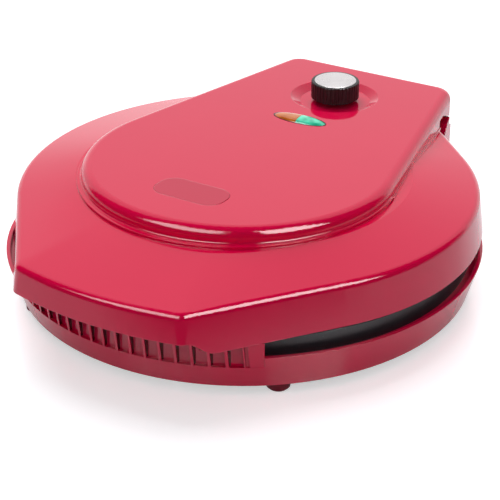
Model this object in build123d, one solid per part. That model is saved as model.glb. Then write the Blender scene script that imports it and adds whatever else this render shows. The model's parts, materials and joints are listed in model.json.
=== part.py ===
from build123d import *
import os
from math import acos, cos, radians, sin, sqrt, tan

# Electric pizza maker: a round heated base and a round heated lid with a beak-shaped
# front handle, hinged at the back. +X to the right seen from the front, +Y to the hinge,
# +Z up, millimetres. It is drawn about the axis of the plates and written with its
# origin on the table under the middle of its length.

# Running and seating clearances
fit_gap = 0.2
turn_gap = 0.05
body_gap = 0.6

# Feet and base housing
foot_height = 7.0
foot_radius = 8.0
foot_circle = 157.0
foot_angle = 51.0
foot_edge = 1.5
base_bottom_radius = 166.0
rim_radius = 173.4
rim_height = 32.5
rim_width = 3.0
base_wall = 2.8
channel_depth = 4.0
channel_inner_gap = 0.4
ledge_inner_radius = 156.0
bottom_cover_thickness = 2.0
flange_width = 14.0
flange_thickness = 2.5

# Raised comb wall at the front of the base
comb_half_angle = 35.2
comb_top = 43.2
comb_foot_radius = 170.8
comb_draft = 7.4
slot_bottom = 24.0
slot_pitch = 10.4
slot_width = 8.6
slot_back_radius = 168.2
slots_per_side = 8
end_groove_offset = 89.5
end_groove_width = 2.2
end_groove_depth = 0.8

# Lower plate, a cast pan whose skirt is the black band
band_radius = 165.0
plate_lip = 7.5
plate_top = 43.0
plate_floor = 34.0
plate_floor_radius = 150.0
plate_thickness = 3.0

# Lid shell
lid_radius = 166.4
lid_center = 6.0
lid_edge_height = 73.3
lid_wall = 2.6
skirt_bottom = 44.4
skirt_flare = 3.8
lid_edge_fillet = 5.0
handle_side_angle = 37.6
handle_arc = 265.0
handle_reach = 191.0
handle_corner = 14.0
handle_corner_taper = 2.2
handle_step = 9.5
handle_step_start = 184.0
handle_step_end = 168.0
rear_side_angle = 44.3
rear_wall_inset = 44.0
rear_bulge_radius = 166.0
dome_height = 84.0
dome_radius = 121.0
lid_opening_radius = 100.0
thermostat_bay_half_width = 26.0
liner_bottom = 58.0
liner_thickness = 1.6
liner_seat = 0.9

# Top cover with the raised round plateau that runs back over the hinge
cover_radius = 113.5
cover_center = -5.8
cover_side_angle = 11.8
cover_corner = 15.0
cover_wall = 2.6
cover_front_top = 96.4
cover_tilt = 0.9
cover_fillet = 7.5
step_width = 1.2
step_forward = 3.3
step_height = 1.9

# Hinge
rear_reach = 204.0
hinge_inset = 14.0
hinge_z = 50.0
split_slope = 22.0
split_rear_height = 67.0
split_gap = 6.2
split_cap = 81.4
post_inner = 52.0
post_front_radius = 24.3
knuckle_gap = 0.8
knuckle_inset = 1.2
cross_block_top = 35.5
barrel_radius = 13.0
barrel_heel = 7.0
bush_radius = 6.0
bush_length = 14.0
pin_radius = 3.0
pin_grip = 14.0
tower_wall = 3.0
tower_set_in = 0.5
tower_flare = 2.0
tower_root = 139.0
tower_plate_gap = 1.2
passage_half_width = 26.0

# Upper plate
upper_plate_radius = 160.0
upper_plate_wall = 2.5
closing_gap = 0.4
upper_ceiling = 50.0
upper_cavity_radius = 147.0

# Heating elements, reflectors and posts
element_radius = 3.5
lower_element_ring = 108.0
upper_element_ring = 82.0
element_leg = 14.0
element_gap_angle = 24.0
reflector_thickness = 0.8
lower_reflector_radius = 146.0
reflector_rim = 5.0
reflector_flare = 4.0
lower_reflector_height = 22.0
upper_reflector_height = 62.0
lower_post_circle = 62.0
post_radius = 4.0
upper_post_circle = 110.0

# Control knob
knob_y = 138.0
knob_radius = 18.7
knob_bottom = 92.0
knob_height = 13.4
knob_rib_count = 40
knob_rib_depth = 0.7
knob_cap_radius = 16.2
knob_cap_thickness = 1.0
knob_cap_proud = 0.3
knob_edge = 1.0
knob_wall = 3.5
knob_hollow = 2.4
spindle_grip = 9.0
dish_radius = 34.5
dish_floor_radius = 27.2
dish_floor = 88.4
spindle_radius = 3.0
thermostat_radius = 12.0
thermostat_height = 17.0
spindle_footing = 4.3
bush_thread_radius = 5.0
nut_thickness = 1.6
nut_across_flats = 14.0

# Indicator lenses and badge
lens_y = 81.2
lens_half_length = 22.3
lens_half_width = 8.4
lens_border = 1.0
lens_thickness = 3.2
lens_proud = 0.5
lamp_radius = 2.0
lamp_length = 10.0
lamp_spacing = 20.0
lamp_holder_half_width = 10.5
lamp_holder_floor = 82.6
lamp_holder_wall = 1.6
badge_y = -70.0
badge_half_length = 27.4
badge_half_width = 14.0
badge_corner = 12.0
badge_thickness = 0.8
badge_proud = 0.15

# Small fixings and electrical parts in the base
screw_head_radius = 3.4
screw_head_height = 1.8
screw_radius = 1.8
screw_length = 6.0
screw_angles = (15, 105, 195, 285)
gland_flange_radius = 9.5
gland_flange_thickness = 2.5
gland_radius = 6.5
gland_length = 14.0
cord_bore_radius = 3.6
gland_z = 21.0
terminal_length = 34.0
terminal_depth = 14.0
terminal_height = 11.0
terminal_y = 118.0
terminal_pitch = 10.0
terminal_hole = 2.2
terminal_floor = 3.0
fuse_radius = 2.2
fuse_length = 16.0
fuse_x = 45.0

# Heights and radii that follow from the values above
base_rise = rim_height - foot_height
channel_height = rim_height - channel_depth
cover_top_of_base = foot_height + bottom_cover_thickness
skirt_height = lid_edge_height - skirt_bottom
hinge_y = rear_reach - hinge_inset
lid_rear_wall = rear_reach - rear_wall_inset
comb_inner_radius = band_radius + channel_inner_gap
plate_underside = plate_floor - plate_thickness
upper_plate_top = upper_ceiling + plate_thickness
upper_plate_bottom = plate_top + closing_gap
liner_top = liner_bottom + liner_thickness
knob_top = knob_bottom + knob_height
spindle_foot = dish_floor - cover_wall - thermostat_height + spindle_footing
upper_reflector_radius = upper_post_circle - post_radius - fit_gap
bolt_circle = base_bottom_radius - flange_width / 2
far = 400.0


def base_outer_radius(z):
    return base_bottom_radius + (rim_radius - base_bottom_radius) * (z - foot_height) / base_rise


def skirt_grow(z):
    return skirt_flare * (lid_edge_height - z) / skirt_height


def comb_radius(z):
    return comb_foot_radius + (z - slot_bottom) * tan(radians(comb_draft))


def cover_top_at(y):
    return cover_front_top - (y + cover_radius - cover_center) * tan(radians(cover_tilt))


# A ring turned from (radius, height) points.
def turned(points):
    profile = make_face(Polyline([(r, 0, z) for r, z in points], close=True))
    return revolve(profile, Axis.Z)


def disc(radius, bottom, top, x=0.0, y=0.0):
    return Pos(x, y, bottom) * extrude(Circle(radius), top - bottom)


def rod_x(radius, x0, x1, y, z):
    return Pos(x0, y, z) * Rot(0, 90, 0) * extrude(Circle(radius), x1 - x0)


def block(x0, x1, y0, y1, z0, z1):
    return Pos((x0 + x1) / 2, (y0 + y1) / 2, (z0 + z1) / 2) * Box(x1 - x0, y1 - y0, z1 - z0)


# A prism along X from a closed outline in (y, z).
def side_prism(points, half_width):
    profile = make_face(Polyline([(-half_width, y, z) for y, z in points], close=True))
    return extrude(profile, 2 * half_width, dir=(1, 0, 0))


# Plan outline of the lid: round at the sides, straight flanks to the beak-shaped handle
# at the front, straight flanks to a flat back wall.
def lid_outline(grow, back_inset, z):
    radius = lid_radius + grow
    a = radians(handle_side_angle)
    b = radians(rear_side_angle)
    flank = (radius * cos(a), lid_center - radius * sin(a))
    arc_center = handle_arc - handle_reach
    arc_radius = handle_arc + grow
    dx, dy = flank[0], flank[1] - arc_center
    along = -dx * sin(a) - dy * cos(a)
    reach = -along + sqrt(along ** 2 - dx ** 2 - dy ** 2 + arc_radius ** 2)
    corner = (flank[0] - reach * sin(a), flank[1] - reach * cos(a))
    rear_flank = (radius * cos(b), lid_center + radius * sin(b))
    back_y = lid_rear_wall - back_inset
    back_corner = ((radius - (back_y - lid_center) * sin(b)) / cos(b), back_y)
    mid = radians((rear_side_angle - handle_side_angle) / 2)
    right = [
        Line(corner, flank),
        ThreePointArc(flank, (radius * cos(mid), lid_center + radius * sin(mid)), rear_flank),
        Line(rear_flank, back_corner),
    ]
    left = [edge.mirror(Plane.YZ) for edge in right]
    back = Line(back_corner, (-back_corner[0], back_y))
    front = ThreePointArc((-corner[0], corner[1]), (0, arc_center - arc_radius), corner)
    face = make_face(Curve() + right + [back] + left + [front])
    tips = face.vertices().sort_by(Axis.Y)[:2]
    corner_radius = handle_corner - handle_corner_taper * skirt_grow(z) - back_inset
    return Pos(0, 0, z) * fillet(tips, corner_radius)


# The same number of arcs as an outline has edges, on a circle, for a lofted dome.
def matched_circle(outline, radius, z):
    def on_circle(p):
        scale = radius / sqrt(p.X ** 2 + p.Y ** 2)
        return (p.X * scale, p.Y * scale, z)

    arcs = []
    for edge in outline.edges():
        ends = [on_circle(edge.position_at(t)) for t in (0, 0.5, 1)]
        arcs.append(ThreePointArc(*ends))
    return make_face(Curve() + arcs)


# The round plates bulge out a little through the flat back wall.
def rear_bulge(inset, bottom, top):
    return disc(rear_bulge_radius - inset, bottom, top) & block(
        -far, far, lid_rear_wall - inset - lid_wall, far, 0, far)


def lid_solid(inset, bottom):
    low = lid_outline(skirt_grow(bottom + inset) - inset, inset, bottom)
    edge = lid_outline(-inset, inset, lid_edge_height - inset)
    dome = matched_circle(edge, dome_radius, dome_height - inset)
    body = loft([low, edge, dome], ruled=True)
    return body + rear_bulge(inset, bottom, lid_edge_height - inset)


# Plan outline of the top cover: a circle with tangent sides that narrow to the back.
def cover_outline(grow, rear, z, forward=0.0):
    radius = cover_radius + grow
    center = cover_center - forward
    a = radians(cover_side_angle)
    side = (radius * cos(a), center + radius * sin(a))
    rear_x = (radius - (rear - center) * sin(a)) / cos(a)
    right = [Line(side, (rear_x, rear))]
    left = [Line((-rear_x, rear), (-side[0], side[1]))]
    back = Line((rear_x, rear), (-rear_x, rear))
    front = ThreePointArc((-side[0], side[1]), (0, center - radius), side)
    face = make_face(Curve() + right + [back] + left + [front])
    tips = face.vertices().sort_by(Axis.Y)[-2:]
    return Pos(0, 0, z) * fillet(tips, cover_corner + grow)


# The line, seen from the side, on which the lid's back part ends above the hinge posts:
# level behind the back wall, then slanting down to the rear.
def split_height(y):
    return min(split_cap, split_rear_height + (rear_reach - y) * tan(radians(split_slope)))


def split_line(y0, y1):
    bend = rear_reach - (split_cap - split_rear_height) / tan(radians(split_slope))
    return [(y, split_height(y)) for y in (y0, bend, y1)]


def make_base_housing():
    floor = channel_height
    wall = turned([
        (base_bottom_radius, foot_height), (rim_radius, rim_height),
        (rim_radius - rim_width, rim_height), (rim_radius - rim_width, floor),
        (ledge_inner_radius, floor), (ledge_inner_radius, floor - base_wall),
        (base_outer_radius(floor - base_wall) - base_wall, floor - base_wall),
        (base_outer_radius(cover_top_of_base + flange_thickness) - base_wall,
         cover_top_of_base + flange_thickness),
        (base_bottom_radius - flange_width, cover_top_of_base + flange_thickness),
        (base_bottom_radius - flange_width, cover_top_of_base),
        (base_outer_radius(cover_top_of_base) - base_wall, cover_top_of_base),
        (base_bottom_radius - base_wall, foot_height),
    ])
    wall = wall - comb_clearing() + make_comb() + make_tower()
    wall -= block(-passage_half_width, passage_half_width, lid_rear_wall, hinge_y,
                  cover_top_of_base + flange_thickness, floor - base_wall)
    wall -= screw_holes()
    wall -= gland_seat()
    slots = [comb_cut(slot_pitch * i, slot_width, slot_back_radius, slot_back_radius)
             for i in range(-slots_per_side, slots_per_side + 1)]
    low = comb_radius(slot_bottom) - end_groove_depth
    high = comb_radius(comb_top) - end_groove_depth
    slots += [comb_cut(side * end_groove_offset, end_groove_width, low, high) for side in (-1, 1)]
    return wall - (Part() + slots)


# The wedge of the round base that the comb takes up at the front.
def comb_sector():
    half = far * tan(radians(comb_half_angle))
    return extrude(make_face(Polyline([(0, 0), (half, -far), (-half, -far)], close=True)), far)


# The comb wall: a thick, slightly drafted stretch of the base's wall that rises past
# the rim, backed well below the slots.
def make_comb():
    low = slot_bottom - base_wall
    ring = turned([
        (comb_inner_radius - base_wall, low), (base_outer_radius(low) - base_wall / 2, low),
        (comb_radius(slot_bottom), slot_bottom), (comb_radius(comb_top), comb_top),
        (comb_inner_radius, comb_top), (comb_inner_radius, channel_height),
        (comb_inner_radius - base_wall, channel_height),
    ])
    return ring & comb_sector()


# The flare and the rim stop at the comb's ends, so that its face stands free.
def comb_clearing():
    ring = turned([
        (comb_radius(slot_bottom), slot_bottom), (far, slot_bottom), (far, comb_top),
        (comb_radius(comb_top), comb_top),
    ])
    return ring & comb_sector()


# A cut square to the front, down to the slots' floor, with its back wall at the given
# radii at the floor and at the comb's top.
def comb_cut(x, width, low_radius, high_radius):
    above = comb_top + base_wall
    ring = turned([
        (low_radius, slot_bottom), (far, slot_bottom), (far, above), (high_radius, above),
    ])
    return ring & block(x - width / 2, x + width / 2, -far, 0, 0, far)


# How far the slanting split lies from the hinge axis.
def split_distance():
    slope = radians(split_slope)
    return hinge_inset * sin(slope) + (split_rear_height - hinge_z) * cos(slope)


# The hinge posts seen from the side: round in front about the hinge axis, sloped on top
# like the split in the lid above them.
def post_profile(rear):
    front = post_front_radius
    slope = radians(split_slope)
    line_distance = split_distance() - split_gap
    meet = radians(90 - split_slope) + acos(line_distance / front)
    arc_mid = (radians(180) + meet) / 2
    low = (0, hinge_y - front, 0)
    spring = (0, hinge_y - front, hinge_z)
    crown = (0, hinge_y + front * cos(arc_mid), hinge_z + front * sin(arc_mid))
    meet_y = hinge_y + front * cos(meet)
    meet_z = hinge_z + front * sin(meet)
    edge = (0, meet_y, meet_z)
    back = (0, rear, meet_z - (rear - meet_y) * tan(slope))
    floor = (0, rear, 0)
    return make_face(Curve() + [
        Line(low, spring), ThreePointArc(spring, crown, edge),
        Line(edge, back), Line(back, floor), Line(floor, low),
    ])


def make_tower():
    rear = rear_reach - tower_set_in
    wall_inner = base_outer_radius(foot_height) - base_wall
    tower = extrude(cover_outline(tower_flare, rear, foot_height), far)
    tower &= block(-far, far, tower_root, far, 0, far)
    posts = tower & extrude(Pos(-far, 0, 0) * post_profile(rear), 2 * far, dir=(1, 0, 0))
    knuckle = rod_x(split_distance() - knuckle_gap, -far, far, hinge_y, hinge_z)
    posts += knuckle & extrude(
        cover_outline(tower_flare - knuckle_inset, rear - knuckle_inset, 0), far)
    posts -= block(-post_inner, post_inner, 0, far, cross_block_top, far)
    body = posts + (tower & block(-far, far, 0, far, 0, channel_height))
    body -= disc(band_radius + tower_plate_gap, channel_height, far)
    body -= disc(wall_inner, 0, channel_height - base_wall)
    body -= disc(ledge_inner_radius, 0, far)
    inner = cover_outline(-tower_wall, rear - tower_wall, cover_top_of_base)
    hollow = extrude(inner, cross_block_top - tower_wall - cover_top_of_base)
    body -= hollow & block(-far, far, base_bottom_radius - base_wall, far, 0, far)
    for side in (-1, 1):
        x0, x1 = sorted((side * (post_inner - 1), side * (post_inner + pin_grip)))
        body -= rod_x(pin_radius + turn_gap / 2, x0, x1, hinge_y, hinge_z)
    return body


# The recess and the hole for the cord gland in the back wall.
def gland_seat():
    rear = rear_reach - tower_set_in
    flange = rod_y(gland_flange_radius + fit_gap, rear - gland_flange_thickness, rear + 1)
    return flange + rod_y(gland_radius + fit_gap, rear - gland_length - fit_gap, rear)


def rod_y(radius, y0, y1):
    return Pos(0, y0, gland_z) * Rot(-90, 0, 0) * extrude(Circle(radius), y1 - y0)


def make_bottom_cover():
    radius = base_outer_radius(foot_height) - base_wall - fit_gap
    return disc(radius, foot_height, cover_top_of_base) - screw_holes()


def ring_places(radius, angles):
    return [(radius * cos(radians(a)), radius * sin(radians(a))) for a in angles]


def screw_places():
    return ring_places(bolt_circle, screw_angles)


def screw_holes():
    holes = [disc(screw_radius + fit_gap, 0, cover_top_of_base + flange_thickness, x, y)
             for x, y in screw_places()]
    return Part() + holes


# Pan-head screws from below, through the bottom cover into the housing's flange.
def make_base_screws():
    screws = []
    for x, y in screw_places():
        head = disc(screw_head_radius, foot_height - screw_head_height, foot_height, x, y)
        screws.append(head + disc(screw_radius, foot_height, foot_height + screw_length, x, y))
    return screws


def make_feet():
    angles = [foot_angle, 180 - foot_angle, 180 + foot_angle, 360 - foot_angle]
    foot = turned([(0, 0), (foot_radius - foot_edge, 0), (foot_radius, foot_edge),
                   (foot_radius, foot_height), (0, foot_height)])
    return [Pos(x, y, 0) * foot for x, y in ring_places(foot_circle, angles)]


def make_lower_plate():
    lip_inner = band_radius - plate_lip
    wall = plate_thickness
    return turned([
        (0, plate_floor), (plate_floor_radius, plate_floor), (lip_inner, plate_top - 1.0),
        (lip_inner + 1.0, plate_top), (band_radius - 0.8, plate_top),
        (band_radius, plate_top - 0.8), (band_radius, channel_height),
        (band_radius - wall, channel_height), (band_radius - wall, plate_top - wall),
        (lip_inner + wall, plate_top - wall), (plate_floor_radius + wall, plate_underside),
        (0, plate_underside),
    ])


def make_upper_plate():
    r, wall = upper_plate_radius, upper_plate_wall
    return turned([
        (0, upper_ceiling), (upper_cavity_radius, upper_ceiling),
        (r - 6.5, upper_plate_bottom + 0.8), (r - 5.5, upper_plate_bottom),
        (r - 0.8, upper_plate_bottom), (r, upper_plate_bottom + 0.8), (r, liner_top + wall),
        (r - wall, liner_top + wall), (r - wall, upper_plate_top), (0, upper_plate_top),
    ])


def element_ends(ring):
    return ring_places(ring, (element_gap_angle / 2 - 90, 270 - element_gap_angle / 2))


# A tubular heater: most of a ring, with two legs that carry its terminals.
def make_element(ring, z, leg_end):
    section = Pos(ring, 0, z) * Rot(90, 0, 0) * Circle(element_radius)
    tube = revolve(Rot(0, 0, element_gap_angle / 2 - 90) * section, Axis.Z,
                   revolution_arc=360 - element_gap_angle)
    low, high = sorted((z, leg_end))
    return tube + [disc(element_radius, low, high, x, y) for x, y in element_ends(ring)]


def make_lower_reflector():
    z, t, r = lower_reflector_height, reflector_thickness, lower_reflector_radius
    dish = turned([
        (0, z), (r - reflector_flare, z), (r, z + reflector_rim), (r - t, z + reflector_rim),
        (r - reflector_flare - t, z + t), (0, z + t),
    ])
    for x, y in lower_posts:
        dish -= disc(post_radius + fit_gap, 0, far, x, y)
    return dish - element_leg_holes(lower_element_ring)


def make_upper_reflector():
    z, t, r = upper_reflector_height, reflector_thickness, upper_reflector_radius
    dish = turned([
        (0, z + t), (r - reflector_flare, z + t), (r, z + t - reflector_rim),
        (r - t, z + t - reflector_rim), (r - reflector_flare - t, z), (0, z),
    ])
    return dish - element_leg_holes(upper_element_ring)


def element_leg_holes(ring):
    return Part() + [disc(element_radius + fit_gap, 0, far, x, y) for x, y in element_ends(ring)]


def make_hinge_pins():
    pins = []
    for side in (-1, 1):
        ends = sorted((side * (post_inner - body_gap - bush_length), side * (post_inner + pin_grip)))
        pins.append(rod_x(pin_radius, ends[0], ends[1], hinge_y, hinge_z))
    return pins


def make_hinge_bushes():
    bushes = []
    for side in (-1, 1):
        x0, x1 = sorted((side * (post_inner - body_gap - bush_length), side * (post_inner - body_gap)))
        ring = rod_x(bush_radius, x0, x1, hinge_y, hinge_z)
        bushes.append(ring - rod_x(pin_radius + turn_gap, x0 - 1, x1 + 1, hinge_y, hinge_z))
    return bushes


def make_lid_shell():
    outer = lid_solid(0, skirt_bottom)
    top_edges = outer.edges().filter_by_position(Axis.Z, lid_edge_height - 0.01,
                                                 lid_edge_height + 0.01)
    rounded = [edge for edge in top_edges if edge.center().Y < lid_rear_wall - lid_edge_fillet]
    outer = fillet(rounded, lid_edge_fillet)
    step = extrude(cover_outline(step_width, rear_reach, skirt_bottom, step_forward), far)
    shell = outer + (step & dome_fill(step_height))
    shell -= lid_solid(lid_wall, skirt_bottom - 1)
    shell -= handle_step_cut()
    shell -= disc(lid_opening_radius, 0, far)
    shell -= block(-thermostat_bay_half_width, thermostat_bay_half_width, 0,
                   lid_rear_wall - lid_wall, liner_top, far)
    return shell + make_lid_back()


# The dome's own form lifted a little, from which the step around the cover is cut.
def dome_fill(rise):
    edge = lid_outline(0, 0, lid_edge_height + rise)
    top = matched_circle(edge, dome_radius, dome_height + rise)
    return loft([edge, top], ruled=True) + extrude(edge, -rise)


# The S-shaped rise of the lower edge under the handle.
def handle_step_cut():
    z0 = skirt_bottom
    z1 = skirt_bottom + handle_step
    y0, y1 = -handle_step_start, -handle_step_end
    pull = (y1 - y0) / 2
    rise = Bezier((0, y0, z1), (0, y0 + pull, z1), (0, y1 - pull, z0), (0, y1, z0))
    outline = Curve() + [
        rise, Line((0, y1, z0), (0, y1, 0)), Line((0, y1, 0), (0, -far, 0)),
        Line((0, -far, 0), (0, -far, z1)), Line((0, -far, z1), (0, y0, z1)),
    ]
    return extrude(Pos(-far, 0, 0) * make_face(outline), 2 * far, dir=(1, 0, 0))


# The riser and slanting shelf that close the cover's back part, and the hinge barrel.
def make_lid_back():
    y0 = lid_rear_wall - lid_wall
    shelf_rear = rear_reach - cover_wall - fit_gap
    under = split_line(lid_rear_wall, shelf_rear)
    top = [(y, z + lid_wall) for y, z in split_line(y0, shelf_rear)]
    low = lid_edge_height - 2 * lid_wall
    shelf = side_prism([(y0, low), (lid_rear_wall, low)] + under + top[::-1], far)
    shelf &= extrude(cover_outline(-cover_wall - fit_gap, shelf_rear, 0), far)
    half = post_inner - body_gap
    root_y = rear_bulge_radius - lid_wall
    heel_y = hinge_y + barrel_heel
    arm = side_prism([
        (root_y, split_height(root_y)), (root_y, lid_edge_height - lid_wall),
        (hinge_y - barrel_radius, hinge_z), (hinge_y + barrel_radius, hinge_z),
        (heel_y, split_height(heel_y)),
    ], half)
    barrel = rod_x(barrel_radius, -half, half, hinge_y, hinge_z)
    bore = rod_x(bush_radius, -far, far, hinge_y, hinge_z)
    return shelf + (arm + barrel - bore)


def cover_body(inset, fillet_radius):
    tilt = radians(cover_tilt)
    tall = extrude(cover_outline(-inset, rear_reach - inset, 0), far)
    top = Plane(origin=(0, 0, cover_top_at(0)), z_dir=(0, sin(tilt), cos(tilt))).offset(-inset)
    body = split(tall, top, keep=Keep.BOTTOM)
    return fillet(body.faces().sort_by(Axis.Z)[-1].edges(), fillet_radius)


def make_lid_top_cover():
    cover = cover_body(0, cover_fillet) - cover_body(cover_wall, cover_fillet - cover_wall)
    cover -= block(-far, far, -far, lid_rear_wall, 0, lid_edge_height)
    cover -= dome_fill(step_height)
    under = split_line(lid_rear_wall - lid_wall, rear_reach + 1)
    cover -= side_prism([(under[0][0], 0)] + under + [(under[-1][0], 0)], far)
    brim = cover_top_at(knob_y)
    dish = turned([
        (0, dish_floor), (dish_floor_radius, dish_floor), (dish_radius, brim),
        (dish_radius, far), (0, far),
    ])
    pad = turned([
        (0, dish_floor - cover_wall), (dish_floor_radius, dish_floor - cover_wall),
        (dish_radius, brim - cover_wall), (dish_radius, brim - cover_wall / 2),
        (0, brim - cover_wall / 2),
    ])
    cover += Pos(0, knob_y, 0) * pad
    cover -= Pos(0, knob_y, 0) * dish
    cover -= disc(bush_thread_radius + fit_gap, 0, far, 0, knob_y)
    cover -= Pos(0, lens_y, 0) * extrude(Ellipse(lens_half_length, lens_half_width), far)
    badge_floor = cover_top_at(badge_y) - badge_thickness
    return cover - Pos(0, badge_y, badge_floor) * extrude(badge_outline(0), far)


def lens_top():
    return cover_top_at(lens_y) + lens_proud


def make_lens_bezel():
    outer = Ellipse(lens_half_length - fit_gap, lens_half_width - fit_gap)
    inner = Ellipse(lens_half_length - lens_border, lens_half_width - lens_border)
    depth = lens_thickness + lens_proud
    return Pos(0, lens_y, lens_top() - lens_proud / 2 - depth) * extrude(outer - inner, depth)


# One half of the lens; the two halves meet across the middle of the oval.
def make_lens(side):
    border = lens_border + fit_gap / 2
    shape = Ellipse(lens_half_length - border, lens_half_width - border)
    half = shape & Pos(side * far / 2, 0) * Rectangle(far - fit_gap / 2, far)
    return Pos(0, lens_y, lens_top() - lens_thickness) * extrude(half, lens_thickness)


# A small open tray under the lens, hung from the inside of the cover.
def make_lamp_holder():
    long, wide, wall = lens_half_length + lamp_holder_wall, lamp_holder_half_width, lamp_holder_wall
    top = cover_top_at(lens_y + wide) - cover_wall - fit_gap / 2
    tray = block(-long, long, lens_y - wide, lens_y + wide, lamp_holder_floor, top)
    return tray - block(wall - long, long - wall, lens_y - wide + wall, lens_y + wide - wall,
                        lamp_holder_floor + wall, far)


def make_lamp(side):
    x = side * lamp_spacing / 2
    z = lamp_holder_floor + lamp_holder_wall + lamp_radius + fit_gap / 2
    return rod_x(lamp_radius, x - lamp_length / 2, x + lamp_length / 2, lens_y, z)


def badge_outline(inset):
    length, width = 2 * (badge_half_length - inset), 2 * (badge_half_width - inset)
    return RectangleRounded(length, width, badge_corner - inset)


def make_badge_plate():
    floor = cover_top_at(badge_y) - badge_thickness
    return Pos(0, badge_y, floor) * extrude(badge_outline(fit_gap), badge_thickness + badge_proud)


def make_lid_liner():
    grow = skirt_grow(liner_top + lid_wall) - lid_wall - liner_seat
    outline = lid_outline(grow, lid_wall + liner_seat, liner_bottom)
    liner = extrude(outline, liner_thickness)
    liner += rear_bulge(lid_wall + liner_seat, liner_bottom, liner_top)
    return liner - disc(upper_plate_radius + fit_gap, 0, far)


def make_thermostat_body():
    top = dish_floor - cover_wall
    can = disc(thermostat_radius, top - thermostat_height, top, 0, knob_y)
    can += disc(bush_thread_radius, top, dish_floor + nut_thickness, 0, knob_y)
    return can - disc(spindle_radius + turn_gap, spindle_foot - fit_gap, far, 0, knob_y)


def make_thermostat_nut():
    nut = extrude(RegularPolygon(nut_across_flats / 2, 6, major_radius=False), nut_thickness)
    nut -= disc(bush_thread_radius + turn_gap, 0, nut_thickness)
    return Pos(0, knob_y, dish_floor) * nut


def make_spindle():
    return disc(spindle_radius, spindle_foot, knob_bottom + spindle_grip, 0, knob_y)


def make_knob():
    body = disc(knob_radius, knob_bottom, knob_top, 0, knob_y)
    body = fillet(body.edges().sort_by(Axis.Z)[-1], knob_edge)
    groove = Pos(0, 0, knob_bottom) * Cylinder(knob_rib_depth, 2 * knob_height)
    angles = [360 * i / knob_rib_count for i in range(knob_rib_count)]
    places = ring_places(knob_radius, angles)
    body -= Part() + [Pos(x, knob_y + y, 0) * groove for x, y in places]
    body -= disc(knob_cap_radius + fit_gap / 2, knob_top - knob_cap_thickness, far, 0, knob_y)
    body -= disc(knob_radius - knob_wall, 0, knob_bottom + knob_hollow, 0, knob_y)
    return body - disc(spindle_radius + turn_gap / 2, 0, knob_bottom + spindle_grip, 0, knob_y)


def make_knob_cap():
    top = knob_top + knob_cap_proud
    cap = disc(knob_cap_radius, knob_top - knob_cap_thickness, top, 0, knob_y)
    return fillet(cap.edges().sort_by(Axis.Z)[-1], knob_cap_proud - turn_gap)


def make_cord_gland():
    rear = rear_reach - tower_set_in
    flange = rod_y(gland_flange_radius, rear - gland_flange_thickness, rear)
    body = rod_y(gland_radius, rear - gland_length, rear)
    return flange + body - rod_y(cord_bore_radius, 0, far)


def make_terminal_block():
    base = cover_top_of_base
    length, depth = terminal_length / 2, terminal_depth / 2
    body = block(-length, length, terminal_y - depth, terminal_y + depth, base, base + terminal_height)
    for i in (-1, 0, 1):
        body -= disc(terminal_hole, base + terminal_floor, far, i * terminal_pitch, terminal_y)
    return body


def make_thermal_fuse():
    return rod_x(fuse_radius, fuse_x - fuse_length / 2, fuse_x + fuse_length / 2, 0,
                 plate_underside - fuse_radius - fit_gap / 2)


def write(name, shape):
    solids = shape if isinstance(shape, list) else [shape]
    parts = []
    for solid in solids:
        parts += list(solid.solids())
    item = Pos(0, -middle_y, 0) * (parts[0] if len(parts) == 1 else Compound(parts))
    item.label = name
    export_step(item, os.path.join("parts", name + ".step"))


os.makedirs("parts", exist_ok=True)

lower_posts = ring_places(lower_post_circle, (30, 150, 270))
upper_posts = ring_places(upper_post_circle, (20, 160, 270))
lower_element_z = plate_underside - element_radius - fit_gap / 2
upper_element_z = upper_plate_top + element_radius + fit_gap / 2
lid_inside = dome_height - lid_wall
front_reach = handle_reach + skirt_grow(skirt_bottom + handle_step)
middle_y = (rear_reach - front_reach) / 2

write("base_housing", make_base_housing())
write("base_bottom_cover", make_bottom_cover())
write("base_feet", make_feet())
write("base_screws", make_base_screws())
write("lower_plate", make_lower_plate())
write("lower_element", make_element(lower_element_ring, lower_element_z,
                                    lower_element_z - element_leg))
write("lower_reflector", make_lower_reflector())
write("lower_plate_posts", [disc(post_radius, cover_top_of_base, plate_underside, x, y)
                            for x, y in lower_posts])
write("hinge_pins", make_hinge_pins())
write("hinge_bushes", make_hinge_bushes())
write("cord_gland", make_cord_gland())
write("terminal_block", make_terminal_block())
write("thermal_fuse", make_thermal_fuse())
write("lid_shell", make_lid_shell())
write("lid_top_cover", make_lid_top_cover())
write("lid_liner", make_lid_liner())
write("upper_plate", make_upper_plate())
write("upper_element", make_element(upper_element_ring, upper_element_z,
                                    upper_element_z + element_leg))
write("upper_reflector", make_upper_reflector())
write("upper_plate_posts", [disc(post_radius, upper_plate_top, lid_inside, x, y)
                            for x, y in upper_posts])
write("thermostat_body", make_thermostat_body())
write("thermostat_nut", make_thermostat_nut())
write("thermostat_spindle", make_spindle())
write("control_knob", make_knob())
write("knob_cap", make_knob_cap())
write("lens_bezel", make_lens_bezel())
write("amber_lens", make_lens(-1))
write("green_lens", make_lens(1))
write("lamp_holder", make_lamp_holder())
write("amber_lamp", make_lamp(-1))
write("green_lamp", make_lamp(1))
write("badge_plate", make_badge_plate())
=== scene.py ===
import json
import math

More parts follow.
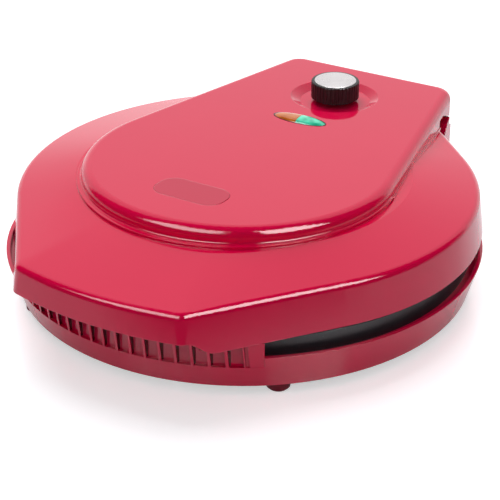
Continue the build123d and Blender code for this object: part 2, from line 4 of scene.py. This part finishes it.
import bmesh
import bpy
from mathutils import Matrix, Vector


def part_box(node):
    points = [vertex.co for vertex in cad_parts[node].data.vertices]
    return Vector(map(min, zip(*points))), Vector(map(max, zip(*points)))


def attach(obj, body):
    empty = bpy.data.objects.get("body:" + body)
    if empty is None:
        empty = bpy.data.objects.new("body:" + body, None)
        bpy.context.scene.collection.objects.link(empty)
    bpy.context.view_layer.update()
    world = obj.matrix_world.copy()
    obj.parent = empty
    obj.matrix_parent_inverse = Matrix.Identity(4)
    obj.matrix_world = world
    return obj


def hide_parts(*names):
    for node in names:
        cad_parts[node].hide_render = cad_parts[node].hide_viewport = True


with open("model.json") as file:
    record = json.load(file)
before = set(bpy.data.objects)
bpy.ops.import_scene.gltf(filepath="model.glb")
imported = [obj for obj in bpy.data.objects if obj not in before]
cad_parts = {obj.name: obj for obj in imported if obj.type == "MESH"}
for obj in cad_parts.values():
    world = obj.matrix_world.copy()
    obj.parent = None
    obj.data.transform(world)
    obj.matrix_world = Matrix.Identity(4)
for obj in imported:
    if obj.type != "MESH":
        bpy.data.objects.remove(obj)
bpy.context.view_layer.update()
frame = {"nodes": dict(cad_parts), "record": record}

cadNodes = frame["nodes"]
print("frame loaded:", len(cadNodes), "pieces")


# shading helpers: each finish below starts from these
def newFinish(name):
    finish = bpy.data.materials.new(name)
    finish.use_nodes = True
    tree = finish.node_tree
    shader = tree.nodes["Principled BSDF"]
    place = tree.nodes.new("ShaderNodeTexCoord")
    return finish, tree, shader, place


# a value goes to the node's own setting, or else to its input of that name
def addNode(tree, kind, **values):
    node = tree.nodes.new(kind)
    for key, value in values.items():
        if hasattr(node, key):
            setattr(node, key, value)
        else:
            node.inputs[key].default_value = value
    return node


def addNoise(tree, place, scale, detail=2.0):
    noise = addNode(tree, "ShaderNodeTexNoise", Scale=scale, Detail=detail)
    tree.links.new(place.outputs["Object"], noise.inputs["Vector"])
    return noise


def spread(tree, source, low, high, edge0=0.35, edge1=0.65):
    ramp = addNode(tree, "ShaderNodeMapRange")
    ramp.inputs["From Min"].default_value = edge0
    ramp.inputs["From Max"].default_value = edge1
    ramp.inputs["To Min"].default_value = low
    ramp.inputs["To Max"].default_value = high
    tree.links.new(source, ramp.inputs["Value"])
    return ramp.outputs["Result"]


def smooth(tree, source, start, end):
    ramp = addNode(tree, "ShaderNodeMapRange", interpolation_type="SMOOTHSTEP")
    ramp.inputs["From Min"].default_value = start
    ramp.inputs["From Max"].default_value = end
    tree.links.new(source, ramp.inputs["Value"])
    return ramp.outputs["Result"]


# the Mix node's colour sockets are inputs 6 and 7 and output 2
def blendColours(tree, factor, first, second):
    mix = addNode(tree, "ShaderNodeMix", data_type="RGBA")
    mix.inputs[6].default_value = (*first, 1.0)
    mix.inputs[7].default_value = (*second, 1.0)
    tree.links.new(factor, mix.inputs[0])
    return mix.outputs[2]


def addBump(tree, shader, height, strength, distance):
    bump = addNode(tree, "ShaderNodeBump", Strength=strength, Distance=distance)
    tree.links.new(height, bump.inputs["Height"])
    tree.links.new(bump.outputs["Normal"], shader.inputs["Normal"])
    return bump


def mathNode(tree, operation, first, second=None):
    node = addNode(tree, "ShaderNodeMath", operation=operation)
    for slot, value in enumerate((first, second)):
        if isinstance(value, (int, float)):
            node.inputs[slot].default_value = value
        elif value is not None:
            tree.links.new(value, node.inputs[slot])
    return node.outputs["Value"]


def darker(colour, share):
    return tuple(part * share for part in colour)


def colourBy(tree, shader, factor, first, second):
    tree.links.new(blendColours(tree, factor, first, second), shader.inputs["Base Color"])


def roughBy(tree, shader, source, limits):
    tree.links.new(spread(tree, source, *limits), shader.inputs["Roughness"])


# glossy red moulding: smooth, with the faint waviness of a moulded skin
redMoulding = {
    "colour": (0.64, 0.0006, 0.050),
    "shade": 0.95,
    "badgeShade": 0.8,
    "trimColour": (0.06, 0.004, 0.008),
    "roughness": (0.035, 0.055),
    "patchScale": 22.0,
    "patchDetail": 3.0,
    "skinScale": 55.0,
    "skinDetail": 1.0,
    "skinStrength": 0.15,
    "skinDepth": 0.00002,
    "edgeRadius": 0.0007,
    "edgeSamples": 6,
    "ior": 1.5,
}
# where the comb's slots are, as a ring between two radii, and the share of the colour that
# their side walls and back walls keep under the painted shade of the slots
slotWallShade = {
    "axisY": -0.00522,
    "backRadius": 0.1679,
    "footRadius": 0.1703,
    "footHeight": 0.0242,
    "draft": 0.1299,
    "sideways": (0.65, 0.9),
    "side": 0.12,
    "back": 0.80,
}


def glossyRed(name, colour, paintedSlotShade=False, softEdges=True):
    finish, tree, shader, place = newFinish(name)
    values = redMoulding
    patches = addNoise(tree, place, values["patchScale"], values["patchDetail"])
    tint = blendColours(tree, patches.outputs["Fac"], colour, darker(colour, values["shade"]))
    # the base's moulding gets painted shade on the walls inside the comb's slots
    if paintedSlotShade:
        tint = paintSlotShade(tree, place, tint)
    tree.links.new(tint, shader.inputs["Base Color"])
    roughBy(tree, shader, patches.outputs["Fac"], values["roughness"])
    skin = addNoise(tree, place, values["skinScale"], values["skinDetail"])
    bump = addBump(tree, shader, skin.outputs["Fac"], values["skinStrength"], values["skinDepth"])
    if softEdges:
        rounded = addNode(tree, "ShaderNodeBevel", samples=values["edgeSamples"],
                          Radius=values["edgeRadius"])
        tree.links.new(rounded.outputs["Normal"], bump.inputs["Normal"])
    shader.inputs["IOR"].default_value = values["ior"]
    return finish


# painted shade: darkens the walls inside the comb's slots, the side walls most, the back walls less
def paintSlotShade(tree, place, tint):
    split = tree.nodes.new("ShaderNodeSeparateXYZ")
    tree.links.new(place.outputs["Object"], split.inputs["Vector"])
    x = split.outputs["X"]
    y = mathNode(tree, "SUBTRACT", split.outputs["Y"], slotWallShade["axisY"])
    xx, yy = mathNode(tree, "MULTIPLY", x, x), mathNode(tree, "MULTIPLY", y, y)
    radius = mathNode(tree, "SQRT", mathNode(tree, "ADD", xx, yy))
    rise = mathNode(tree, "SUBTRACT", split.outputs["Z"], slotWallShade["footHeight"])
    face = mathNode(tree, "MULTIPLY", rise, slotWallShade["draft"])
    face = mathNode(tree, "ADD", face, slotWallShade["footRadius"])
    inside = mathNode(tree, "LESS_THAN", radius, face)
    for test, value, limit in (("GREATER_THAN", radius, slotWallShade["backRadius"]),
                               ("GREATER_THAN", rise, 0.0), ("LESS_THAN", y, 0.0)):
        inside = mathNode(tree, "MULTIPLY", inside, mathNode(tree, test, value, limit))
    form = tree.nodes.new("ShaderNodeNewGeometry")
    facing = tree.nodes.new("ShaderNodeSeparateXYZ")
    tree.links.new(form.outputs["True Normal"], facing.inputs["Vector"])
    sideways = mathNode(tree, "ABSOLUTE", facing.outputs["X"])
    wall = spread(tree, sideways, slotWallShade["back"], slotWallShade["side"], *slotWallShade["sideways"])
    shadeLoss = mathNode(tree, "MULTIPLY", inside, mathNode(tree, "SUBTRACT", 1.0, wall))
    shadeScale = addNode(tree, "ShaderNodeVectorMath", operation="SCALE")
    tree.links.new(tint, shadeScale.inputs[0])
    tree.links.new(mathNode(tree, "SUBTRACT", 1.0, shadeLoss), shadeScale.inputs["Scale"])
    return shadeScale.outputs["Vector"]


# black non-stick coating over cast metal: fine speckle, slightly rough
plateCoating = {
    "colour": (0.012, 0.0145, 0.018),
    "speck": (0.05, 0.055, 0.06),
    "speckScale": 900.0,
    "speckMost": 0.6,
    "speckEdges": (0.62, 0.75),
    "grainScale": 1500.0,
    "grainStrength": 0.2,
    "grainDepth": 0.00005,
    "roughness": (0.28, 0.42),
}


def coatedCasting():
    finish, tree, shader, place = newFinish("coatedCasting")
    values = plateCoating
    specks = addNoise(tree, place, values["speckScale"])
    amount = spread(tree, specks.outputs["Fac"], 0.0, values["speckMost"], *values["speckEdges"])
    colourBy(tree, shader, amount, values["colour"], values["speck"])
    grain = addNoise(tree, place, values["grainScale"])
    roughBy(tree, shader, grain.outputs["Fac"], values["roughness"])
    addBump(tree, shader, grain.outputs["Fac"], values["grainStrength"], values["grainDepth"])
    return finish


# matt plastics and rubber: fine spark-eroded grain
grainPlastics = {
    "knobBlack": {"colour": (0.012, 0.011, 0.012), "roughness": (0.30, 0.42), "grain": 1400.0},
    "trimBlack": {"colour": (0.016, 0.016, 0.017), "roughness": (0.42, 0.55), "grain": 1100.0},
    "footRubber": {"colour": (0.16, 0.004, 0.016), "roughness": (0.35, 0.5), "grain": 800.0,
                   "specular": 0.2},
    "lampTrayWhite": {"colour": (0.72, 0.70, 0.65), "roughness": (0.4, 0.5), "grain": 900.0},
    "bottomPaint": {"colour": (0.022, 0.022, 0.024), "roughness": (0.35, 0.5), "grain": 700.0},
}
plasticGrain = {"shade": 0.8, "strength": 0.25, "depth": 0.00006, "specular": 0.5}


def grainedPlastic(name):
    values = {**plasticGrain, **grainPlastics[name]}
    finish, tree, shader, place = newFinish(name)
    grain = addNoise(tree, place, values["grain"]).outputs["Fac"]
    colourBy(tree, shader, grain, values["colour"], darker(values["colour"], values["shade"]))
    roughBy(tree, shader, grain, values["roughness"])
    addBump(tree, shader, grain, values["strength"], values["depth"])
    shader.inputs["Specular IOR Level"].default_value = values["specular"]
    return finish


# bare metals: streak gives how fine the rolling or turning lines are along X, Y and Z
bareMetals = {
    "zincSteel": {"colour": (0.56, 0.56, 0.57), "roughness": (0.22, 0.38),
                  "streak": (400.0, 400.0, 60.0)},
    "rolledSheet": {"colour": (0.72, 0.72, 0.73), "roughness": (0.30, 0.36),
                    "streak": (60.0, 1800.0, 1800.0)},
    "heaterSheath": {"colour": (0.13, 0.105, 0.09), "roughness": (0.4, 0.6),
                     "streak": (250.0, 250.0, 250.0)},
    "bushBrass": {"colour": (0.60, 0.40, 0.14), "roughness": (0.2, 0.35),
                  "streak": (40.0, 600.0, 600.0)},
    "fuseCan": {"colour": (0.60, 0.57, 0.5), "roughness": (0.25, 0.4),
                "streak": (60.0, 500.0, 500.0)},
}
metalStreaks = {"shade": 0.82, "detail": 3.0}


def bareMetal(name):
    values = {**metalStreaks, **bareMetals[name]}
    finish, tree, shader, place = newFinish(name)
    stretch = addNode(tree, "ShaderNodeMapping", Scale=values["streak"])
    tree.links.new(place.outputs["Object"], stretch.inputs["Vector"])
    streaks = addNode(tree, "ShaderNodeTexNoise", Scale=1.0, Detail=values["detail"])
    tree.links.new(stretch.outputs["Vector"], streaks.inputs["Vector"])
    lines = streaks.outputs["Fac"]
    colourBy(tree, shader, lines, values["colour"], darker(values["colour"], values["shade"]))
    roughBy(tree, shader, lines, values["roughness"])
    shader.inputs["Metallic"].default_value = 1.0
    return finish


# spun cap: fine turning lines round the knob's own axis, bright in two opposite fans
spunMetal = {
    "colour": (0.90, 0.86, 0.87),
    "shade": 0.86,
    "lineScale": 2600.0,
    "lineDetail": 3.0,
    "roughness": (0.24, 0.34),
    "anisotropy": 0.75,
}


def spunCap(centre):
    finish, tree, shader, place = newFinish("spunCap")
    values = spunMetal
    shift = addNode(tree, "ShaderNodeMapping", Location=(-centre.x, -centre.y, 0.0))
    tree.links.new(place.outputs["Object"], shift.inputs["Vector"])
    flat = addNode(tree, "ShaderNodeVectorMath", operation="MULTIPLY")
    flat.inputs[1].default_value = (1.0, 1.0, 0.0)
    tree.links.new(shift.outputs["Vector"], flat.inputs[0])
    radius = addNode(tree, "ShaderNodeVectorMath", operation="LENGTH")
    tree.links.new(flat.outputs["Vector"], radius.inputs[0])
    turning = addNode(tree, "ShaderNodeTexNoise", noise_dimensions="1D",
                      Scale=values["lineScale"], Detail=values["lineDetail"])
    tree.links.new(radius.outputs["Value"], turning.inputs["W"])
    lines = turning.outputs["Fac"]
    colourBy(tree, shader, lines, values["colour"], darker(values["colour"], values["shade"]))
    roughBy(tree, shader, lines, values["roughness"])
    around = addNode(tree, "ShaderNodeVectorMath", operation="CROSS_PRODUCT")
    around.inputs[1].default_value = (0.0, 0.0, 1.0)
    tree.links.new(flat.outputs["Vector"], around.inputs[0])
    tree.links.new(around.outputs["Vector"], shader.inputs["Tangent"])
    shader.inputs["Anisotropic"].default_value = values["anisotropy"]
    shader.inputs["Metallic"].default_value = 1.0
    return finish


# tinted window halves: clear plastic whose colour goes pale in soft clouds
tintedWindows = {
    "amberWindow": {"deep": (0.50, 0.10, 0.004), "pale": (0.66, 0.18, 0.015)},
    "greenWindow": {"deep": (0.010, 0.50, 0.29), "pale": (0.10, 0.92, 0.60)},
}
windowClouds = {
    "scale": 130.0,
    "detail": 1.0,
    "edges": (0.3, 0.6),
    "ribScale": 500.0,
    "roughness": (0.05, 0.12),
    "coat": 0.6,
    "transmission": 0.1,
}


def tintedWindow(name):
    values = {**windowClouds, **tintedWindows[name]}
    finish, tree, shader, place = newFinish(name)
    cloud = addNoise(tree, place, values["scale"], values["detail"])
    amount = spread(tree, cloud.outputs["Fac"], 0.0, 1.0, *values["edges"])
    colourBy(tree, shader, amount, values["deep"], values["pale"])
    ribs = addNoise(tree, place, values["ribScale"], values["detail"])
    roughBy(tree, shader, ribs.outputs["Fac"], values["roughness"])
    shader.inputs["Coat Weight"].default_value = values["coat"]
    shader.inputs["Transmission Weight"].default_value = values["transmission"]
    return finish


# lamp bulbs behind the window
bulbGlass = {
    "colour": (0.85, 0.78, 0.7),
    "smoked": (0.75, 0.66, 0.58),
    "cloudScale": 300.0,
    "roughness": (0.08, 0.16),
    "transmission": 0.6,
}


def lampGlass():
    finish, tree, shader, place = newFinish("lampGlass")
    cloud = addNoise(tree, place, bulbGlass["cloudScale"]).outputs["Fac"]
    colourBy(tree, shader, cloud, bulbGlass["colour"], bulbGlass["smoked"])
    roughBy(tree, shader, cloud, bulbGlass["roughness"])
    shader.inputs["Transmission Weight"].default_value = bulbGlass["transmission"]
    return finish


capLow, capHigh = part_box("knob_cap")
capCentre = (capLow + capHigh) / 2
badgeColour = darker(redMoulding["colour"], redMoulding["badgeShade"])
finishes = {
    "red_gloss": glossyRed("glossyRed", redMoulding["colour"]),
    # the base's red carries painted shade inside the comb's slots
    "base_red_slot_shade": glossyRed("baseRedPaintedSlotShade", redMoulding["colour"], paintedSlotShade=True),
    "cove_red": glossyRed("coveRed", redMoulding["colour"], softEdges=False),
    "badge_red": glossyRed("badgeRed", badgeColour),
    "dark_trim": glossyRed("windowTrim", redMoulding["trimColour"]),
    "plate_coating": coatedCasting(),
    "knob_plastic": grainedPlastic("knobBlack"),
    "black_plastic": grainedPlastic("trimBlack"),
    "foot_rubber": grainedPlastic("footRubber"),
    "white_plastic": grainedPlastic("lampTrayWhite"),
    "bottom_sheet": grainedPlastic("bottomPaint"),
    "steel": bareMetal("zincSteel"),
    "reflector_sheet": bareMetal("rolledSheet"),
    "heater_sheath": bareMetal("heaterSheath"),
    "bush_brass": bareMetal("bushBrass"),
    "fuse_can": bareMetal("fuseCan"),
    "spun_metal": spunCap(capCentre),
    "amber_window": tintedWindow("amberWindow"),
    "green_window": tintedWindow("greenWindow"),
    "lamp_glass": lampGlass(),
}
for part in frame["record"]["subparts"]:
    piece = cadNodes[part["node"]]
    for materialSlot in piece.material_slots:
        slotName = "base_red_slot_shade" if part["node"] == "base_housing" else part["material_slot"]
        materialSlot.material = finishes[slotName]
print("finishes set:", len(finishes))


# the scene's own pieces: each is a closed mesh that rides on a body
sharpAngle = math.radians(38.0)


def addPiece(name, corners, faces, finish, body):
    mesh = bpy.data.meshes.new(name)
    mesh.from_pydata([tuple(corner) for corner in corners], [], faces)
    shape = bmesh.new()
    shape.from_mesh(mesh)
    bmesh.ops.recalc_face_normals(shape, faces=shape.faces)
    shape.to_mesh(mesh)
    shape.free()
    mesh.shade_smooth()
    mesh.set_sharp_from_angle(angle=sharpAngle)
    mesh.materials.append(finish)
    piece = bpy.data.objects.new(name, mesh)
    bpy.context.scene.collection.objects.link(piece)
    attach(piece, body)
    return piece


# a closed section of points carried through a list of stations, with flat ends
def sweptFaces(stations, points):
    faces = []
    for i in range(stations - 1):
        near, far = i * points, (i + 1) * points
        for j in range(points):
            k = (j + 1) % points
            faces.append((near + j, near + k, far + k, far + j))
    faces.append(tuple(range(points)))
    faces.append(tuple((stations - 1) * points + j for j in range(points)))
    return faces


# small hollow fillet where the raised cover's wall meets the lid's ledge
coverCove = {
    "radius": 0.1135,
    "centreY": -0.01102,
    "sideAngle": 11.8,
    "rearY": 0.118,
    "arcSteps": 96,
    "sideSteps": 14,
    "size": (0.0013, 0.0021),  # along the sides, at the front
    "bite": 0.0003,  # how far it reaches into the wall and the ledge
    "sectionSteps": 10,
    "probeOut": 0.0006,
    "probeHeight": 0.2,
}


# the cover's outline from one rear end round the front to the other, with its outward direction
def coverWallPath(values):
    a = math.radians(values["sideAngle"])
    r, cy = values["radius"], values["centreY"]
    tangent = Vector((r * math.cos(a), cy + r * math.sin(a)))
    along = Vector((-math.sin(a), math.cos(a)))
    reach = (values["rearY"] - tangent.y) / along.y
    steps = values["sideSteps"]
    path = []
    for i in range(steps, 0, -1):
        spot = tangent + along * reach * i / steps
        path.append((spot, Vector((math.cos(a), math.sin(a)))))
    for i in range(values["arcSteps"] + 1):
        turn = a - (math.pi + 2 * a) * i / values["arcSteps"]
        out = Vector((math.cos(turn), math.sin(turn)))
        path.append((Vector((0.0, cy)) + out * r, out))
    mirrored = [(Vector((-spot.x, spot.y)), Vector((-out.x, out.y))) for spot, out in path[:steps]]
    return path + mirrored[::-1]


def hollowFillet():
    values = coverCove
    shell = cadNodes["lid_shell"]
    path = coverWallPath(values)
    small, large = values["size"]
    bite, steps = values["bite"], values["sectionSteps"]
    corners = []
    for spot, out in path:
        size = small + (large - small) * max(0.0, -out.y)
        probe = spot + out * values["probeOut"]
        hit = shell.ray_cast((probe.x, probe.y, values["probeHeight"]), (0.0, 0.0, -1.0))[1]
        ledge = hit.z
        for i in range(steps):
            t = math.pi / 2 * i / (steps - 1)
            place = spot + out * size * (1 - math.sin(t))
            corners.append((place.x, place.y, ledge + size * (1 - math.cos(t))))
        inner = spot - out * bite
        edge = spot + out * size
        corners.append((inner.x, inner.y, ledge + size))
        corners.append((inner.x, inner.y, ledge - bite))
        corners.append((edge.x, edge.y, ledge - bite))
    faces = sweptFaces(len(path), len(corners) // len(path))
    addPiece("coverCove", corners, faces, finishes["cove_red"], "lid")


# crowned window halves over the lamps
windowDome = {
    "centre": (0.0, 0.07598, 0.0934),
    "halfLength": 0.02115,
    "halfWidth": 0.00725,
    "rise": 0.0022,
    "depth": 0.0026,
    "middleGap": 0.0001,
    "rings": 9,
    "steps": 28,
}


def domedWindow(name, side, node, slot):
    values = windowDome
    x0, y0, z0 = values["centre"]
    rings, steps = values["rings"], values["steps"]
    gap, long, wide = values["middleGap"], values["halfLength"], values["halfWidth"]
    top = [(x0 + side * gap, y0, z0 + values["rise"])]
    for i in range(1, rings + 1):
        share = i / rings
        height = z0 + values["rise"] * math.sqrt(max(0.0, 1 - share ** 2))
        for j in range(steps + 1):
            t = math.pi * (j / steps - 0.5)
            across = gap + long * share * math.cos(t)
            top.append((x0 + side * across, y0 + wide * share * math.sin(t), height))

    def at(i, j):
        return 0 if i == 0 else 1 + (i - 1) * (steps + 1) + j

    faces = [(0, at(1, j), at(1, j + 1)) for j in range(steps)]
    for i in range(1, rings):
        for j in range(steps):
            faces.append((at(i, j), at(i + 1, j), at(i + 1, j + 1), at(i, j + 1)))
    border = [at(rings, j) for j in range(steps + 1)]
    border += [at(i, steps) for i in range(rings - 1, 0, -1)]
    border += [0] + [at(i, 0) for i in range(1, rings)]
    low = len(top)
    corners = top + [(top[k][0], top[k][1], z0 - values["depth"]) for k in border]
    for k in range(len(border)):
        n = (k + 1) % len(border)
        faces.append((border[k], border[n], low + n, low + k))
    faces.append(tuple(low + k for k in range(len(border))))
    piece = addPiece(name, corners, faces, finishes[slot], "lid")
    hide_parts(node)


# pan-head cross screws that hold the liner under the lid's beak
linerScrews = {
    "places": ((-0.052, -0.1735), (0.052, -0.1735), (0.0, -0.1785)),
    "underside": 0.058,
    "radius": 0.0034,
    "height": 0.0019,
    "profile": ((1.0, 0.0), (1.0, 0.35), (0.93, 0.68), (0.78, 0.88), (0.58, 1.0)),
    "crossHalf": 0.0005,
    "crossReach": 0.0019,
    "crossDepth": 0.0009,
    "crossTaper": 0.8,
    "steps": 36,
}


# side faces between two rings of points
def joinRings(head, upper, lower):
    for i in range(len(upper)):
        k = (i + 1) % len(upper)
        head.faces.new((upper[i], upper[k], lower[k], lower[i]))


def ringEdges(head, ring):
    return [head.edges.get((ring[i], ring[(i + 1) % len(ring)])) for i in range(len(ring))]


def crossScrew(name, x, y):
    values = linerScrews
    steps, top, height = values["steps"], values["underside"], values["height"]
    head = bmesh.new()
    rows = []
    for share, drop in values["profile"]:
        r = values["radius"] * share
        turns = [2 * math.pi * i / steps for i in range(steps)]
        rows.append([head.verts.new((x + r * math.cos(t), y + r * math.sin(t), top - height * drop))
                     for t in turns])
    for upper, lower in zip(rows, rows[1:]):
        joinRings(head, upper, lower)
    head.faces.new(rows[0])
    # the face carries the cross-shaped recess: outline at the face, walls and a floor
    h, r = values["crossHalf"], values["crossReach"]
    outline = [(h, r), (-h, r), (-h, h), (-r, h), (-r, -h), (-h, -h),
               (-h, -r), (h, -r), (h, -h), (r, -h), (r, h), (h, h)]
    face = top - height
    taper, deep = values["crossTaper"], face + values["crossDepth"]
    rim = [head.verts.new((x + u, y + v, face)) for u, v in outline]
    floor = [head.verts.new((x + u * taper, y + v * taper, deep)) for u, v in outline]
    joinRings(head, rim, floor)
    head.faces.new(floor)
    edges = ringEdges(head, rim) + ringEdges(head, rows[-1])
    bmesh.ops.triangle_fill(head, use_beauty=True, edges=edges)
    head.verts.index_update()
    corners = [tuple(v.co) for v in head.verts]
    faces = [tuple(v.index for v in f.verts) for f in head.faces]
    head.free()
    addPiece(name, corners, faces, finishes["steel"], "lid")


hollowFillet()
domedWindow("amberDome", -1, "amber_lens", "amber_window")
domedWindow("greenDome", 1, "green_lens", "green_window")
for number, (x, y) in enumerate(linerScrews["places"]):
    crossScrew("linerScrew%d" % (number + 1), x, y)
print("own pieces added")


# floor, light and camera
studio = {
    "floorSize": 12.0,
    "floorCells": 8,
    "floorColour": (0.75, 0.74, 0.77),
    "floorGlow": 0.52,
    "glossGlow": 0.18,
    "floorBounce": (0.46, 0.45, 0.45),
    "floorRoughness": (0.10, 0.14),
    "cloudScale": 3.0,
    # frontWay to paintedReflectionDark: painted reflection, a floor that glossy rays see dark in
    # front of the object
    "frontWay": (0.512, -0.859, 0.0),  # along the floor, to the front right
    "frontFade": (0.26, 0.38),
    "frontMost": 0.9,
    "paintedReflectionDark": (0.02, 0.02, 0.02),
    "worldLevel": 0.50,
    "topLight": {"azimuth": 132.0, "elevation": 54.0, "level": 2.75, "angle": 56.0},
}
# what the gloss sees: a white backdrop behind, a little brighter low down, two soft boxes
# in front, and dark between them
glossRoom = {
    "dark": 0.03,
    "backdrop": {"azimuth": 118.0, "halfWidth": 56.0, "low": -90.0, "high": 61.0,
                 "soft": 5.0, "level": 1.12},
    "horizon": {"azimuth": 100.0, "halfWidth": 50.0, "low": -90.0, "high": 11.0,
                "soft": 5.0, "level": 0.3},
    "leftBox": {"azimuth": 255.0, "halfWidth": 32.0, "low": 32.0, "high": 62.0,
                "soft": 7.0, "level": 10.0},
    "rightBox": {"azimuth": -15.0, "halfWidth": 25.0, "low": 30.0, "high": 66.0,
                 "soft": 4.0, "level": 16.0},
}


def pointAt(item, target):
    item.rotation_euler = (Vector(target) - item.location).to_track_quat("-Z", "Y").to_euler()


def softSun(name, values):
    light = bpy.data.lights.new(name, "SUN")
    light.energy = values["level"]
    light.angle = math.radians(values["angle"])
    lamp = bpy.data.objects.new(name, light)
    around, up = math.radians(values["azimuth"]), math.radians(values["elevation"])
    lamp.location = (math.cos(around) * math.cos(up), math.sin(around) * math.cos(up), math.sin(up))
    lamp.visible_glossy = False
    bpy.context.scene.collection.objects.link(lamp)
    pointAt(lamp, (0.0, 0.0, 0.0))


def paleFloor():
    sheet = bmesh.new()
    cells = studio["floorCells"]
    bmesh.ops.create_grid(sheet, x_segments=cells, y_segments=cells, size=studio["floorSize"] / 2)
    mesh = bpy.data.meshes.new("paleFloor")
    sheet.to_mesh(mesh)
    sheet.free()
    floor = bpy.data.objects.new("paleFloor", mesh)
    bpy.context.scene.collection.objects.link(floor)
    finish, tree, shader, place = newFinish("paleFloor")
    rays = tree.nodes.new("ShaderNodeLightPath")
    glossy = rays.outputs["Is Glossy Ray"]
    seen = mathNode(tree, "SUBTRACT", 1.0, rays.outputs["Is Diffuse Ray"])
    colour = blendColours(tree, seen, studio["floorBounce"], studio["floorColour"])
    # painted reflection: to glossy rays only, the floor in front of the object is painted dark,
    # standing in for the dark room the gloss sees there; the camera still sees it white
    ahead = addNode(tree, "ShaderNodeVectorMath", operation="DOT_PRODUCT")
    ahead.inputs[1].default_value = studio["frontWay"]
    tree.links.new(place.outputs["Object"], ahead.inputs[0])
    fade = spread(tree, ahead.outputs["Value"], 0.0, studio["frontMost"], *studio["frontFade"])
    paintedDarkShare = mathNode(tree, "MULTIPLY", fade, glossy)
    paintedReflectionMix = addNode(tree, "ShaderNodeMix", data_type="RGBA")
    tree.links.new(paintedDarkShare, paintedReflectionMix.inputs[0])
    tree.links.new(colour, paintedReflectionMix.inputs[6])
    paintedReflectionMix.inputs[7].default_value = (*studio["paintedReflectionDark"], 1.0)
    tree.links.new(paintedReflectionMix.outputs[2], shader.inputs["Base Color"])
    lift = spread(tree, glossy, studio["floorGlow"], studio["glossGlow"], 0.0, 1.0)
    glow = mathNode(tree, "MULTIPLY", mathNode(tree, "SUBTRACT", seen, paintedDarkShare), lift)
    tree.links.new(glow, shader.inputs["Emission Strength"])
    shader.inputs["Emission Color"].default_value = (1.0, 1.0, 1.0, 1.0)
    cloud = addNoise(tree, place, studio["cloudScale"])
    roughBy(tree, shader, cloud.outputs["Fac"], studio["floorRoughness"])
    mesh.materials.append(finish)


# one soft-edged patch of the gloss room, by azimuth and elevation in degrees
def roomPatch(tree, direction, elevation, values):
    turn = addNode(tree, "ShaderNodeMapping", vector_type="POINT")
    turn.inputs["Rotation"].default_value = (0.0, 0.0, -math.radians(values["azimuth"]))
    tree.links.new(direction, turn.inputs["Vector"])
    split = tree.nodes.new("ShaderNodeSeparateXYZ")
    tree.links.new(turn.outputs["Vector"], split.inputs["Vector"])
    around = mathNode(tree, "ARCTAN2", split.outputs["Y"], split.outputs["X"])
    around = mathNode(tree, "ABSOLUTE", around)
    soft = math.radians(values["soft"])
    wide, low, high = (math.radians(values[key]) for key in ("halfWidth", "low", "high"))
    patch = smooth(tree, around, wide + soft, wide - soft)
    patch = mathNode(tree, "MULTIPLY", patch, smooth(tree, elevation, low - soft, low + soft))
    patch = mathNode(tree, "MULTIPLY", patch, smooth(tree, elevation, high + soft, high - soft))
    return mathNode(tree, "MULTIPLY", patch, values["level"])


def studioWorld():
    world = bpy.data.worlds.new("studioWorld")
    bpy.context.scene.world = world
    world.use_nodes = True
    tree = world.node_tree
    plain = tree.nodes["Background"]
    plain.inputs["Color"].default_value = (1.0, 1.0, 1.0, 1.0)
    plain.inputs["Strength"].default_value = studio["worldLevel"]
    backdrop = addNode(tree, "ShaderNodeBackground", Strength=1.0)
    backdrop.inputs["Color"].default_value = (1.0, 1.0, 1.0, 1.0)
    room = addNode(tree, "ShaderNodeBackground", Strength=1.0)
    place = tree.nodes.new("ShaderNodeTexCoord")
    direction = place.outputs["Generated"]
    split = tree.nodes.new("ShaderNodeSeparateXYZ")
    tree.links.new(direction, split.inputs["Vector"])
    elevation = mathNode(tree, "ARCSINE", split.outputs["Z"])
    light = glossRoom["dark"]
    for name in ("backdrop", "horizon", "leftBox", "rightBox"):
        patch = roomPatch(tree, direction, elevation, glossRoom[name])
        light = mathNode(tree, "ADD", patch, light)
    tree.links.new(light, room.inputs["Strength"])
    rays = tree.nodes.new("ShaderNodeLightPath")
    glossMix = tree.nodes.new("ShaderNodeMixShader")
    tree.links.new(rays.outputs["Is Glossy Ray"], glossMix.inputs["Fac"])
    tree.links.new(plain.outputs["Background"], glossMix.inputs[1])
    tree.links.new(room.outputs["Background"], glossMix.inputs[2])
    # the camera and clear plastics see plain white
    clear = mathNode(tree, "MAXIMUM", rays.outputs["Is Camera Ray"],
                     rays.outputs["Is Transmission Ray"])
    cameraMix = tree.nodes.new("ShaderNodeMixShader")
    tree.links.new(clear, cameraMix.inputs["Fac"])
    tree.links.new(glossMix.outputs["Shader"], cameraMix.inputs[1])
    tree.links.new(backdrop.outputs["Background"], cameraMix.inputs[2])
    tree.links.new(cameraMix.outputs["Shader"], tree.nodes["World Output"].inputs["Surface"])


paleFloor()
studioWorld()
softSun("topLight", studio["topLight"])
bpy.context.scene.view_settings.view_transform = "Standard"
print("floor and lamps set")

photoCamera = {
    "place": (0.5181, -0.8675, 0.5549),
    "aim": (0.0289, -0.0460, 0.0450),
    "lens": 111.04,
    "sensor": 36.0,
    "clipEnd": 50.0,
}
cameraData = bpy.data.cameras.new("photoCamera")
cameraData.lens = photoCamera["lens"]
cameraData.sensor_width = photoCamera["sensor"]
cameraData.clip_end = photoCamera["clipEnd"]
camera = bpy.data.objects.new("photoCamera", cameraData)
camera.location = photoCamera["place"]
bpy.context.scene.collection.objects.link(camera)
pointAt(camera, photoCamera["aim"])
bpy.context.scene.camera = camera
print("camera set")
